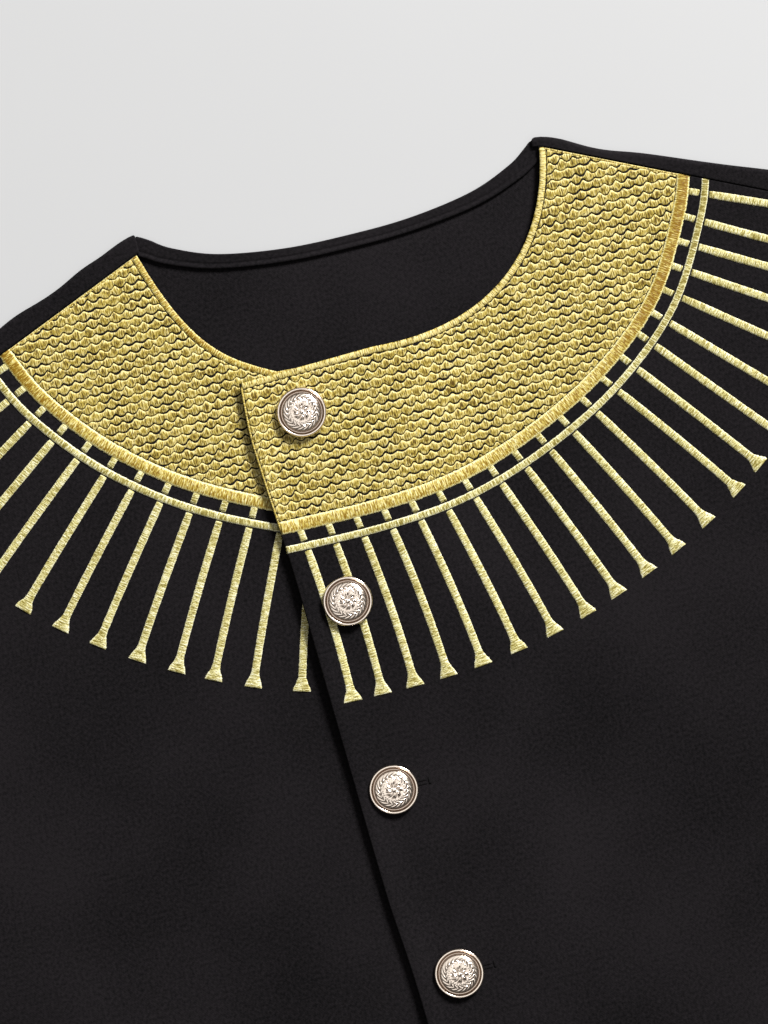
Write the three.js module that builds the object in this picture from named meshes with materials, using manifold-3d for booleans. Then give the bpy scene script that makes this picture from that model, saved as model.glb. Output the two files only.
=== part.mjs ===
// A collarless kaftan top laid flat: two lapped fronts, a back that rolls over the shoulders to a
// forward shoulder seam, two long set-in sleeves, a faced back neck, an embroidered broad collar
// with radiating bars on each front, and seven domed shank buttons.
// Millimetres, +Z up. Drafting axes: x to the wearer's left, y up towards the neck, z = 0 the table.
import * as THREE from "three";
import { mergeVertices } from "three/addons/utils/BufferGeometryUtils.js";
import Module from "manifold-3d";

const wasm = await Module();
wasm.setup();

// ---- driving dimensions ----
const CLOTH = 1.3; // wall of every cut piece
const SEAM_GAP = 0.3; // clearance between pieces that meet or lie on each other
const STITCH_LAYER = 0.8; // height of the embroidery above its ground cloth
const LENGTH = 818; // shoulder line at the neck to the hem
const NECK_HALF = 95.5; // half width of the neck at the shoulder fold
const NECK_TOP = 2.3; // height of the shoulder fold at the neck
const SHOULDER_HALF = 245; // half width across the shoulders
const SHOULDER_SLOPE = THREE.MathUtils.degToRad(22);
// the shoulder seam runs forward of the fold: how far at the neck, and its own slope
const SEAM_LEFT = { drop: 4.2, slope: THREE.MathUtils.degToRad(24.8) };
const SEAM_RIGHT = { drop: 8.8, slope: THREE.MathUtils.degToRad(22.8) };
const CHEST_HALF = 282;
const ARMHOLE_LOW = -290; // level of the underarm point
const HEM_HALF = 300;
const SLEEVE_LENGTH = 600;
const SLEEVE_ANGLE = THREE.MathUtils.degToRad(52); // below the horizontal
const CUFF_WIDTH = 130;
const FRONT_LEVEL = 3.2; // underside of the front layer over most of the garment
const SEAM_LEVEL = CLOTH + SEAM_GAP; // underside of the front layer at the side and sleeve seams
const HEM_SINK = 0.9; // how far the front layer settles at hem and cuffs
const SEAM_FALL = 45; // distance over which it settles at a seam
const LAP_LIFT = CLOTH + SEAM_GAP; // extra height of the upper front where it covers the lower one
const COLLAR_LIFT = STITCH_LAYER + SEAM_GAP; // and more where the collar lies between
const COLLAR_END = [-220, -265]; // the collar's share of the lift goes between these y
const LAP_END = [0, 50]; // the upper front comes down between these x
const UNDERLAP_EDGE = [-14, -8]; // x of the lower front's hidden edge, at neck and hem
const CELL = { x: 20, y: 25 }; // grid that all cloth layers share
const CURVE_STEPS = 14;

const BUTTON = { radius: 11.5, dome: 5.4, rim: 2.4, shank: 1.3, stand: 0.5, segments: 14 };
const BUTTON_PITCH = 89.1;
const BUTTON_COUNT = 7;
const FIRST_BUTTON_Y = -95.7;
const BUTTONHOLE = { eye: 1.9, slit: 0.8, reach: 16.5, hiddenReach: 10.5 };

const colours = {
  cloth: new THREE.MeshStandardMaterial({ color: 0x1c1b1c, roughness: 0.85 }),
  gold: new THREE.MeshStandardMaterial({ color: 0xc9ac4e, roughness: 0.45, metalness: 0.3 }),
  metal: new THREE.MeshStandardMaterial({ color: 0xd9bfa6, roughness: 0.2, metalness: 1 }),
};

// ---- small tools ----
const V = (x, y) => new THREE.Vector2(x, y);
const smooth = (t) => THREE.MathUtils.smoothstep(t, 0, 1);
const mix = THREE.MathUtils.lerp;

function solid(geometry) {
  const bare = new THREE.BufferGeometry();
  bare.setAttribute("position", geometry.getAttribute("position").clone());
  if (geometry.index) bare.setIndex(geometry.index.clone());
  const merged = mergeVertices(bare, 1e-4);
  const vertProperties = merged.attributes.position.array;
  const build = (triVerts) => new wasm.Manifold(new wasm.Mesh({ numProp: 3, vertProperties, triVerts }));
  const triVerts = new Uint32Array(merged.index.array);
  const made = build(triVerts);
  if (made.volume() > 0) return made;
  // a grid drafted to the wearer's right comes out inside out, so its triangles are turned round
  for (let i = 0; i < triVerts.length; i += 3) {
    triVerts.set([triVerts[i], triVerts[i + 2], triVerts[i + 1]], i);
  }
  return build(triVerts);
}

function geometryOf(body) {
  const { numProp, numVert, vertProperties, triVerts } = body.getMesh();
  const xyz = new Float32Array(numVert * 3);
  for (let i = 0; i < numVert; i++) xyz.set(vertProperties.subarray(i * numProp, i * numProp + 3), i * 3);
  const geometry = new THREE.BufferGeometry();
  geometry.setAttribute("position", new THREE.BufferAttribute(xyz, 3));
  geometry.setIndex(new THREE.BufferAttribute(triVerts, 1));
  geometry.computeVertexNormals();
  return geometry;
}

// A tall prism that cuts an outline out of a layer.
function prism(points) {
  const depth = 60;
  const geometry = new THREE.ExtrudeGeometry(new THREE.Shape(points), { depth, bevelEnabled: false });
  return solid(geometry.translate(0, 0, -depth / 3));
}

const bezier = (a, b, c, d, steps = CURVE_STEPS) => new THREE.CubicBezierCurve(a, b, c, d).getPoints(steps);
const mirrored = (points) => points.map((p) => V(-p.x, p.y)).reverse();

// ---- pattern lines ----
const shoulderY = (x) => NECK_TOP - (Math.abs(x) - NECK_HALF) * Math.tan(SHOULDER_SLOPE);
const seamY = (x) => {
  const { drop, slope } = x > 0 ? SEAM_LEFT : SEAM_RIGHT;
  return NECK_TOP - drop - (Math.abs(x) - NECK_HALF) * Math.tan(slope);
};
const neckPoint = V(NECK_HALF, NECK_TOP);
const shoulderTip = V(SHOULDER_HALF, shoulderY(SHOULDER_HALF));
const underarm = V(CHEST_HALF, ARMHOLE_LOW);
const hemCorner = V(HEM_HALF, -LENGTH);
const sleeveDirection = V(Math.cos(SLEEVE_ANGLE), -Math.sin(SLEEVE_ANGLE));
const cuffTop = shoulderTip.clone().addScaledVector(sleeveDirection, SLEEVE_LENGTH);
const cuffLow = cuffTop.clone().add(V(sleeveDirection.y, -sleeveDirection.x).multiplyScalar(CUFF_WIDTH));
const armhole = new THREE.CubicBezierCurve(shoulderTip, V(228, -125), V(224, -238), underarm);
// The back neck is a shallow scoop that turns up steeply at the shoulders.
const backNeckHalf = [V(30, -19.8), V(60, -15.1), V(80, -7.4), V(90, -1), neckPoint];
const backNeckCurve = new THREE.SplineCurve([...mirrored(backNeckHalf), V(0, -20.8), ...backNeckHalf]);
const backNeck = backNeckCurve.getPoints(40);

// The upper front's edge bows outward over the embroidery, then leans to the centre on its way down.
const lapEdge = new THREE.SplineCurve([
  V(-64.1, -75.9),
  V(-65.2, -99),
  V(-64.3, -118),
  V(-62.3, -144),
  V(-60.2, -170),
  V(-57, -250),
  V(-54, -320),
  V(-49.5, -385),
  V(-45, -560),
  V(-43, -LENGTH - 1),
]);

const necklineUpper = [V(-64.1, -75.9), ...bezier(V(0, -73.8), V(58, -77.5), V(89, -46), V(NECK_HALF, -1.9))];
const necklineLower = [
  V(UNDERLAP_EDGE[0], -75.8),
  ...bezier(V(-46, -74.4), V(-66, -63.6), V(-81, -57), V(-NECK_HALF - 0.5, -6.5)),
];

// ---- drape: the underside of the front layer over the table ----
// Soft creases: each runs from a to b, with its half width and its height (negative is a trough).
const folds = [
  { ax: 262, ay: -300, bx: 120, by: -420, width: 26, height: 1.3 },
  { ax: 270, ay: -345, bx: 165, by: -520, width: 24, height: -1.2 },
  { ax: 205, ay: -440, bx: 190, by: -700, width: 28, height: 1.2 },
  { ax: 110, ay: -470, bx: 95, by: -770, width: 30, height: -1.1 },
  { ax: 72, ay: -560, bx: 66, by: -800, width: 20, height: 0.8 },
  { ax: -258, ay: -296, bx: -130, by: -400, width: 24, height: 1.4 },
  { ax: -272, ay: -350, bx: -150, by: -500, width: 26, height: -1.3 },
  { ax: -200, ay: -470, bx: -215, by: -740, width: 28, height: 1.1 },
  { ax: -120, ay: -520, bx: -112, by: -790, width: 30, height: -1.0 },
  { ax: 300, ay: -180, bx: 400, by: -330, width: 24, height: 1.4 },
  { ax: 318, ay: -290, bx: 420, by: -420, width: 20, height: -1.2 },
  { ax: 405, ay: -290, bx: 470, by: -420, width: 18, height: 1.2 },
  { ax: 500, ay: -420, bx: 545, by: -520, width: 18, height: -1.1 },
  { ax: -296, ay: -170, bx: -385, by: -320, width: 24, height: 1.3 },
  { ax: -322, ay: -300, bx: -430, by: -440, width: 20, height: -1.3 },
  { ax: -420, ay: -300, bx: -462, by: -400, width: 18, height: 1.3 },
  { ax: -490, ay: -410, bx: -535, by: -510, width: 18, height: -1.0 },
];

function distanceTo(x, y, ax, ay, bx, by) {
  const dx = bx - ax;
  const dy = by - ay;
  const t = THREE.MathUtils.clamp(((x - ax) * dx + (y - ay) * dy) / (dx * dx + dy * dy), 0, 1);
  return { away: Math.hypot(x - ax - t * dx, y - ay - t * dy), along: t };
}

function crease(x, y) {
  let sum = 0;
  for (const f of folds) {
    const { away, along } = distanceTo(x, y, f.ax, f.ay, f.bx, f.by);
    sum += f.height * Math.exp(-((away / f.width) ** 2)) * (0.55 + 0.45 * Math.sin(Math.PI * along));
  }
  return THREE.MathUtils.clamp(sum, -1.5, 1.4);
}

// How flat a point lies because of the seam, hem or cuff beside it.
function settled(x, y) {
  const ax = Math.abs(x);
  const side = distanceTo(ax, y, underarm.x, underarm.y, hemCorner.x, hemCorner.y).away;
  const sleeve = distanceTo(ax, y, underarm.x, underarm.y, cuffLow.x, cuffLow.y).away;
  const toCuff = -V(ax - cuffTop.x, y - cuffTop.y).dot(sleeveDirection);
  const below = V(ax - underarm.x, y - underarm.y);
  const beyond = below.cross(V(cuffLow.x - underarm.x, cuffLow.y - underarm.y)) > 0 &&
    below.cross(V(hemCorner.x - underarm.x, hemCorner.y - underarm.y)) < 0;
  const hem = ax < HEM_HALF + 5 ? y + LENGTH : SEAM_FALL;
  return {
    seam: beyond ? 1 : 1 - smooth(Math.min(side, sleeve) / SEAM_FALL),
    end: 1 - smooth(Math.min(Math.max(hem, 0), Math.max(toCuff, 0)) / SEAM_FALL),
  };
}

function underside(x, y) {
  const { seam, end } = settled(x, y);
  const open = mix(FRONT_LEVEL, SEAM_LEVEL, seam) - HEM_SINK * end * (1 - seam);
  const shoulder = smooth((shoulderY(x) - y - 20) / 60);
  return open + crease(x, y) * (1 - seam) * (1 - end) * shoulder;
}

const along = (t, [from, to]) => smooth((t - from) / (to - from));
const lapLift = (x, y) => (LAP_LIFT + COLLAR_LIFT * (1 - along(y, COLLAR_END))) * (1 - along(x, LAP_END));
const undersideUpper = (x, y) => underside(x, y) + lapLift(x, y);

// ---- a cloth layer: a height field over the shared grid, as a closed slab ----
function layer(low, high, heightAt, thickness) {
  const i0 = Math.floor(low.x / CELL.x) - 1;
  const i1 = Math.ceil(high.x / CELL.x) + 1;
  const j0 = Math.floor(low.y / CELL.y) - 1;
  const j1 = Math.ceil(high.y / CELL.y) + 1;
  const columns = i1 - i0 + 1;
  const rows = j1 - j0 + 1;
  const xyz = [];
  for (const rise of [0, thickness])
    for (let j = j0; j <= j1; j++)
      for (let i = i0; i <= i1; i++) {
        const x = i * CELL.x;
        const y = j * CELL.y;
        xyz.push(x, y, heightAt(x, y) + rise);
      }
  const at = (level, j, i) => level * rows * columns + j * columns + i;
  const tris = [];
  const quad = (a, b, c, d) => tris.push(a, b, c, a, c, d);
  for (let j = 0; j < rows - 1; j++)
    for (let i = 0; i < columns - 1; i++) {
      quad(at(1, j, i), at(1, j, i + 1), at(1, j + 1, i + 1), at(1, j + 1, i));
      tris.push(at(0, j, i), at(0, j + 1, i + 1), at(0, j, i + 1));
      tris.push(at(0, j, i), at(0, j + 1, i), at(0, j + 1, i + 1));
    }
  for (let i = 0; i < columns - 1; i++) {
    quad(at(0, 0, i), at(0, 0, i + 1), at(1, 0, i + 1), at(1, 0, i));
    quad(at(0, rows - 1, i + 1), at(0, rows - 1, i), at(1, rows - 1, i), at(1, rows - 1, i + 1));
  }
  for (let j = 0; j < rows - 1; j++) {
    quad(at(0, j + 1, 0), at(0, j, 0), at(1, j, 0), at(1, j + 1, 0));
    quad(at(0, j, columns - 1), at(0, j + 1, columns - 1), at(1, j + 1, columns - 1), at(1, j, columns - 1));
  }
  const geometry = new THREE.BufferGeometry();
  geometry.setAttribute("position", new THREE.Float32BufferAttribute(xyz, 3));
  geometry.setIndex(tris);
  return solid(geometry);
}

// ---- outlines ----
const armholeLine = armhole.getPoints(CURVE_STEPS);
const silhouette = [...armholeLine, hemCorner, ...mirrored([...armholeLine, hemCorner]), ...backNeck];

// Everything below the shoulder seam and the neckline, to one side of a front edge.
function frontOutline(neckline, edge, side) {
  const reach = HEM_HALF + 20;
  return [
    ...neckline.map((p) => V(p.x, p.y - SEAM_GAP)),
    V(side * reach, seamY(side * reach) - SEAM_GAP),
    V(side * reach, -LENGTH - 20),
    ...edge,
  ];
}

const body = prism(silhouette);
const upperOutline = frontOutline(necklineUpper, lapEdge.getPoints(24).slice(1).reverse(), 1);
const lowerOutline = frontOutline(necklineLower, [V(UNDERLAP_EDGE[1], -LENGTH - 20)], -1);

// ---- buttons and buttonholes ----
// The button row runs beside the leaning edge, 24 mm in from it.
const buttonSpots = Array.from({ length: BUTTON_COUNT }, (_, n) => {
  const y = FIRST_BUTTON_Y - n * BUTTON_PITCH;
  return V(n < 3 ? -39.2 : mix(-30, -24, (n - 3) / (BUTTON_COUNT - 4)), y);
});

// A keyhole: a round eye for the shank and a slit towards the wearer's left. The embroidery has the
// eye alone, so that the bars that pass under a button stay whole.
const together = (bodies) => bodies.reduce((a, b) => a.add(b));
const eyes = together(
  buttonSpots.map(({ x, y }) => {
    const { eye } = BUTTONHOLE;
    return prism(new THREE.EllipseCurve(x, y, eye, eye).getPoints(12).slice(0, -1));
  }),
);
const slits = together(
  buttonSpots.map(({ x, y }, n) => {
    const half = BUTTONHOLE.slit / 2;
    const end = x + (n < 2 ? BUTTONHOLE.hiddenReach : BUTTONHOLE.reach);
    return prism([V(x, y - half), V(end, y - half), V(end, y + half), V(x, y + half)]);
  }),
);

function button(n) {
  const { x, y } = buttonSpots[n];
  const { radius, dome, rim, shank, stand, segments } = BUTTON;
  const overCollar = n < 2 ? SEAM_GAP + STITCH_LAYER : 0;
  const foot = underside(x, y) + CLOTH + overCollar + SEAM_GAP;
  const back = undersideUpper(x, y) + CLOTH + overCollar + stand;
  const profile = [
    V(0, foot),
    V(shank, foot),
    V(shank, back),
    V(radius - 1.2, back),
    V(radius, back + 0.8),
    V(radius, back + rim - 0.7),
    V(radius - 0.7, back + rim),
    V(radius - 2.2, back + rim),
    V(radius * 0.55, back + dome * 0.84),
    V(0, back + dome),
  ];
  return new THREE.LatheGeometry(profile, segments).rotateX(Math.PI / 2).translate(x, y, 0);
}

// ---- embroidered collar ----
// One row for each front. The rail is the band's outer edge, drawn as a spline from its first point.
// Bars are set out on it: base is where bar n starts along the rail, drift how far its foot has moved
// on along the rail, both read between the given [bar, millimetres] pairs.
const collars = {
  upper: {
    side: 1,
    rail: [V(-68, -148), V(-15, -148.3), V(25.7, -143.8), V(64.3, -131), V(101, -111.5), V(132.3, -84.3),
      V(153, -49.7), V(161, -28), V(166, -8)],
    ring: { away: 7.4, width: 3.4 },
    bars: 21,
    base: [[0, 15.3], [14, 200], [20, 270.2]],
    drift: [[0, 6.3], [4, 6], [8, 2.4], [12, 3.2], [14, -0.5], [20, -2.2]],
  },
  lower: {
    side: -1,
    rail: [V(-174, -18), V(-168.1, -38.2), V(-155.3, -63.6), V(-131, -92.7), V(-100.7, -116.8),
      V(-66.6, -134.8), V(-40, -143.5), V(-8, -148.5)],
    ring: { away: 7.4, width: 3.6 },
    bars: 15,
    base: [[0, 26], [3, 64.6], [14, 215]],
    drift: [[0, -1.5], [14, -3.3]],
  },
};
const BAR_WIDTH = 3.5;
const BAR_LENGTH = 82;
const BAR_STATIONS = [[-3, 1], [12, 1], [30, 1], [48, 1], [63, 1], [74, 1], [78.5, 1.35], [82, 2.4]];

function between(pairs, n) {
  const k = Math.max(1, pairs.findIndex(([at]) => at >= n));
  const [[a, from], [b, to]] = [pairs[k - 1], pairs[k]];
  return mix(from, to, (n - a) / (b - a));
}

// A point beside the rail: a length along it and a distance out from it.
function railFrame(points) {
  const curve = new THREE.SplineCurve(points);
  curve.arcLengthDivisions = 400;
  const total = curve.getLength();
  return {
    total,
    place(length, away) {
      const u = THREE.MathUtils.clamp(length / total, 0, 1);
      const t = curve.getTangentAt(u);
      return curve.getPointAt(u).add(V(t.y * away, -t.x * away));
    },
  };
}

function bar(frame, spec, n) {
  const base = between(spec.base, n);
  const drift = between(spec.drift, n);
  const left = [];
  const right = [];
  for (const [away, broad] of BAR_STATIONS) {
    const turned = 1 - (1 - Math.max(away, 0) / BAR_LENGTH) ** 2;
    const foot = base + drift * turned;
    const middle = frame.place(foot, away);
    const ahead = frame.place(base + drift * Math.min(1, turned + 0.02), away + 1);
    const across = ahead.sub(frame.place(foot, away - 1)).normalize().multiplyScalar((BAR_WIDTH / 2) * broad);
    left.push(V(middle.x - across.y, middle.y + across.x));
    right.push(V(middle.x + across.y, middle.y - across.x));
  }
  return prism([...left, ...right.reverse()]);
}

function collar(spec, neckline, outline, heightAt) {
  const { side, ring, rail, bars } = spec;
  const frame = railFrame(rail);
  const steps = 26;
  const shares = Array.from({ length: steps + 1 }, (_, i) => i / steps);
  const line = (away) => shares.map((share) => frame.place(frame.total * share, away));
  const inner = side > 0 ? neckline : neckline.slice().reverse();
  let cutter = prism([...inner, V(side > 0 ? 104 : -8, side > 0 ? 6 : -70), ...line(0).reverse()]);
  const [ringIn, ringOut] = [ring.away - ring.width / 2, ring.away + ring.width / 2];
  cutter = cutter.add(prism([...line(ringIn), ...line(ringOut).reverse()]));
  for (let n = 0; n < bars; n++) cutter = cutter.add(bar(frame, spec, n));
  const low = V(side > 0 ? -80 : -260, -250);
  const high = V(side > 0 ? 260 : 0, 0);
  return layer(low, high, (x, y) => heightAt(x, y) + CLOTH + SEAM_GAP, STITCH_LAYER)
    .intersect(cutter)
    .intersect(prism(outline));
}

// ---- the back, with its rolls over the shoulders ----
function shoulderRoll(side) {
  const outer = (FRONT_LEVEL + CLOTH) / 2;
  const inner = outer - CLOTH;
  const reach = 16;
  const shape = new THREE.Shape();
  shape.moveTo(reach, 0).lineTo(reach, CLOTH).lineTo(outer, CLOTH);
  shape.absarc(outer, outer, inner, -Math.PI / 2, Math.PI / 2, true);
  shape.lineTo(reach, FRONT_LEVEL).lineTo(reach, FRONT_LEVEL + CLOTH).lineTo(outer, FRONT_LEVEL + CLOTH);
  shape.absarc(outer, outer, outer, Math.PI / 2, -Math.PI / 2, false);
  const length = neckPoint.distanceTo(shoulderTip) + 20;
  const geometry = new THREE.ExtrudeGeometry(shape, { depth: length, bevelEnabled: false, curveSegments: 8 });
  // section x becomes the way in from the fold, section y becomes up, depth runs down the shoulder
  const cos = Math.cos(SHOULDER_SLOPE);
  const sin = Math.sin(SHOULDER_SLOPE);
  geometry.applyMatrix4(
    new THREE.Matrix4().set(
      -sin * side, 0, cos * side, NECK_HALF * side,
      -cos, 0, -sin, NECK_TOP,
      0, 1, 0, 0,
      0, 0, 0, 1,
    ),
  );
  return solid(geometry);
}

function back() {
  const inset = (FRONT_LEVEL + CLOTH) / 2;
  const shoulderLine = [V(NECK_HALF, NECK_TOP - inset), V(400, shoulderY(400) - inset)];
  const belowRolls = prism([
    ...shoulderLine,
    V(400, -900),
    V(-400, -900),
    ...mirrored(shoulderLine),
    V(-NECK_HALF, 40),
    V(NECK_HALF, 40),
  ]);
  const flat = new THREE.ExtrudeGeometry(new THREE.Shape(silhouette), { depth: CLOTH, bevelEnabled: false });
  const sheet = solid(flat).intersect(belowRolls);
  const onTop = prism([
    V(NECK_HALF - 4, seamY(NECK_HALF - 4)),
    V(400, seamY(400)),
    V(400, -400),
    V(-400, -400),
    V(-400, seamY(-400)),
    V(-NECK_HALF + 4, seamY(-NECK_HALF + 4)),
  ]);
  const frontPlane = onTop.intersect(
    solid(new THREE.BoxGeometry(900, 900, 20).translate(0, 0, CLOTH + 0.01 + 10)),
  );
  const rolls = [1, -1].map((side) => shoulderRoll(side).intersect(body).subtract(frontPlane));
  return sheet.add(rolls[0]).add(rolls[1]);
}

// ---- the facing that finishes the back neck inside, wider towards the shoulders ----
const FACING_WIDTH = [6.5, 9.5];
function backNeckFacing() {
  const shares = Array.from({ length: 25 }, (_, i) => mix(0.015, 0.985, i / 24));
  const inward = (away) =>
    shares.map((t) => {
      const along = backNeckCurve.getTangentAt(t);
      const reach = away(Math.abs(2 * t - 1));
      return backNeckCurve.getPointAt(t).add(V(along.y * reach, -along.x * reach));
    });
  const top = inward(() => SEAM_GAP);
  const low = inward((out) => mix(FACING_WIDTH[0], FACING_WIDTH[1], out ** 3));
  const span = NECK_HALF + FACING_WIDTH[1];
  const sheet = layer(V(-span, -40), V(span, NECK_TOP), () => CLOTH + SEAM_GAP, STITCH_LAYER);
  return sheet.intersect(prism([...top, ...low.reverse()]));
}

// ---- sleeves: a flattened tube of rings from the armhole to the cuff ----
const SLEEVE_RINGS = 15;
const ACROSS = [0.08, 0.2, 0.33, 0.46, 0.59, 0.72, 0.84, 0.93];
const CAP_STEPS = 4;
const SLEEVE_SPARE = 12; // drafted past the armhole, then trimmed to it

// The body's side of the armhole seam, one seam gap out from the armhole.
function armholeTrim() {
  const seam = armholeLine.map((p, i) => {
    const t = armhole.getTangent(i / CURVE_STEPS);
    return V(p.x - t.y * SEAM_GAP, p.y + t.x * SEAM_GAP);
  });
  const up = armhole.getTangent(0).multiplyScalar(-40);
  const side = HEM_HALF + SEAM_GAP;
  const inside = [V(0, 100), V(0, -900), V(side, -900), V(side, -LENGTH)];
  return prism([...inside, ...seam.slice().reverse(), seam[0].clone().add(up)]);
}

function sleeve(side) {
  const outer = [];
  const inner = [];
  for (let k = 0; k <= SLEEVE_RINGS; k++) {
    const v = k / SLEEVE_RINGS;
    const place = (share) => {
      const start = armhole.getPoint(share).addScaledVector(sleeveDirection, -SLEEVE_SPARE);
      return start.lerp(cuffTop.clone().lerp(cuffLow, share), v);
    };
    const width = place(0).distanceTo(place(1));
    const levelAt = (share) => {
      const p = place(share);
      return underside(side * p.x, p.y);
    };
    const foldRadius = (levelAt(0.02) + CLOTH) / 2;
    const seamRadius = (levelAt(0.995) + CLOTH) / 2;
    const push = (ring, share, z) => {
      const p = place(share);
      ring.push([side * p.x, p.y, z]);
    };
    for (const [ring, skin] of [[outer, 0], [inner, CLOTH]]) {
      const row = [];
      for (let c = 0; c <= CAP_STEPS; c++) {
        const turn = -Math.PI / 2 + (Math.PI * c) / CAP_STEPS;
        const r = foldRadius - skin;
        push(row, (foldRadius - r * Math.cos(turn)) / width, foldRadius + r * Math.sin(turn));
      }
      for (const share of ACROSS) push(row, share, levelAt(share) + CLOTH - skin);
      for (let c = 0; c <= CAP_STEPS; c++) {
        const turn = Math.PI / 2 - (Math.PI * c) / CAP_STEPS;
        const r = seamRadius - skin;
        push(row, 1 - (seamRadius - r * Math.cos(turn)) / width, seamRadius + r * Math.sin(turn));
      }
      for (const share of [0.75, 0.5, 0.25]) push(row, share, skin);
      ring.push(row);
    }
  }
  const around = outer[0].length;
  const rows = outer.length;
  const xyz = [...outer.flat(), ...inner.flat()].flat();
  const at = (wall, k, c) => wall * rows * around + k * around + (c % around);
  const tris = [];
  const quad = (a, b, c, d) => tris.push(a, b, c, a, c, d);
  for (let c = 0; c < around; c++) {
    for (let k = 0; k < rows - 1; k++) {
      quad(at(0, k, c), at(0, k, c + 1), at(0, k + 1, c + 1), at(0, k + 1, c));
      quad(at(1, k, c), at(1, k + 1, c), at(1, k + 1, c + 1), at(1, k, c + 1));
    }
    quad(at(0, 0, c), at(1, 0, c), at(1, 0, c + 1), at(0, 0, c + 1));
    quad(at(0, rows - 1, c), at(0, rows - 1, c + 1), at(1, rows - 1, c + 1), at(1, rows - 1, c));
  }
  const geometry = new THREE.BufferGeometry();
  geometry.setAttribute("position", new THREE.Float32BufferAttribute(xyz, 3));
  geometry.setIndex(tris);
  const trim = armholeTrim();
  return solid(geometry).subtract(side > 0 ? trim : trim.mirror([1, 0, 0]));
}

// ---- the garment ----
const garment = new THREE.Group();
// the origin is under the middle of the laid-out garment
garment.position.y = (LENGTH - NECK_TOP) / 2;

function piece(name, geometry, material) {
  const mesh = new THREE.Mesh(geometry, material);
  mesh.name = name;
  garment.add(mesh);
}

const lowerFront = layer(V(-HEM_HALF, -LENGTH), V(0, 0), underside, CLOTH)
  .intersect(prism(lowerOutline))
  .intersect(body);
const upperFront = layer(V(-80, -LENGTH), V(HEM_HALF, 0), undersideUpper, CLOTH)
  .intersect(prism(upperOutline))
  .intersect(body)
  .subtract(eyes.add(slits));
const lowerCollar = collar(collars.lower, necklineLower, lowerOutline, underside);
const upperCollar = collar(collars.upper, necklineUpper, upperOutline, undersideUpper).subtract(eyes);

piece("back", geometryOf(back()), colours.cloth);
piece("back_neck_facing", geometryOf(backNeckFacing()), colours.cloth);
piece("front_right", geometryOf(lowerFront), colours.cloth);
piece("front_left", geometryOf(upperFront), colours.cloth);
piece("sleeve_right", geometryOf(sleeve(-1)), colours.cloth);
piece("sleeve_left", geometryOf(sleeve(1)), colours.cloth);
piece("collar_right", geometryOf(lowerCollar), colours.gold);
piece("collar_left", geometryOf(upperCollar), colours.gold);
for (let n = 0; n < BUTTON_COUNT; n++) piece(`button_${n + 1}`, button(n), colours.metal);

export default garment;
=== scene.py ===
import math

import bmesh
import bpy
import numpy as np
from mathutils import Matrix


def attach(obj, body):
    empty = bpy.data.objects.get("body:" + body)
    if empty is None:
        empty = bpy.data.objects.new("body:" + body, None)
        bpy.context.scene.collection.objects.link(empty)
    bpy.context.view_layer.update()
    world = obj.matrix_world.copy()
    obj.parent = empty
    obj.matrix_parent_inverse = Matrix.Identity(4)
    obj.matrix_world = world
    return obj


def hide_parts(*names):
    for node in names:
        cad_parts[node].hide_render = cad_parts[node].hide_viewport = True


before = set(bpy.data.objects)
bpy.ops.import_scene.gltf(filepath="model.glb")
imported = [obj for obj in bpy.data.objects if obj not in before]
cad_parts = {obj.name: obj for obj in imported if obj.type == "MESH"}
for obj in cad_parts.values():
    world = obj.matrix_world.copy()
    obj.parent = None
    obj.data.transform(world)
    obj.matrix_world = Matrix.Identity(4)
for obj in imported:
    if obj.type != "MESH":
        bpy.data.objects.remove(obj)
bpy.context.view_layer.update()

# ---- The floor it lies on, the light and the camera ----
# A plain pale floor of matt laminate, lit by one large softbox from the upper right under a dim white
# ceiling. The camera looks straight down, turned so that the top lies slightly askew.


def linear(colour):
    """An sRGB hex colour as linear light: c/12.92 up to 0.04045, and ((c + 0.055)/1.055)^2.4 above."""
    c = np.array([int(colour[i : i + 2], 16) for i in (1, 3, 5)]) / 255
    return (*np.where(c <= 0.04045, c / 12.92, ((c + 0.055) / 1.055) ** 2.4).tolist(), 1.0)


def add(tree, kind, sockets=None, **settings):
    """Adds one shader node: settings are its properties, and sockets gives its inputs a value, another node's
    output, or another node, of which the first output is taken."""
    made = tree.nodes.new("ShaderNode" + kind)
    for key, value in settings.items():
        setattr(made, key, value)
    for key, value in (sockets or {}).items():
        if isinstance(value, bpy.types.Node):
            value = value.outputs[0]
        if isinstance(value, bpy.types.NodeSocket):
            tree.links.new(value, made.inputs[key])
        else:
            made.inputs[key].default_value = value
    return made


def finish(name, **sockets):
    """A new material with one Principled shader, whose sockets are set by name; returns it with its tree."""
    made = bpy.data.materials.new(name)
    made.use_nodes = True
    tree = made.node_tree
    shader = tree.nodes["Principled BSDF"]
    for key, value in sockets.items():
        shader.inputs[key.replace("_", " ")].default_value = value
    return made, tree, shader


def stand(name, data):
    """A new object in the scene with a mesh, lamp or camera as its data."""
    made = bpy.data.objects.new(name, data)
    bpy.context.collection.objects.link(made)
    return made


FLOOR = 24.0  # metres across
FLOOR_DROP = 0.0004  # metres below the cloth, so that the two don't share a plane

laminate, tree, shader = finish("matt_laminate", Roughness=0.6)
# Laminate, pressed: even pale grey with only a trace of mottling.
where = add(tree, "TexCoord")
mottle = add(tree, "TexNoise", {"Vector": where.outputs["Object"], "Scale": 6.0, "Detail": 3.0})
greys = {0: mottle, 6: linear("#c5c5c5"), 7: linear("#c8c8c8")}
mottled = add(tree, "Mix", greys, data_type="RGBA")
tree.links.new(mottled.outputs[2], shader.inputs["Base Color"])

reach = FLOOR / 2
floor_corners = [(-reach, -reach), (reach, -reach), (reach, reach), (-reach, reach)]
floor_mesh = bpy.data.meshes.new("pale_floor")
floor_mesh.from_pydata([(x, y, -FLOOR_DROP) for x, y in floor_corners], [], [(0, 1, 2, 3)])
floor_mesh.materials.append(laminate)
pale_floor = stand("pale_floor", floor_mesh)

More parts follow.
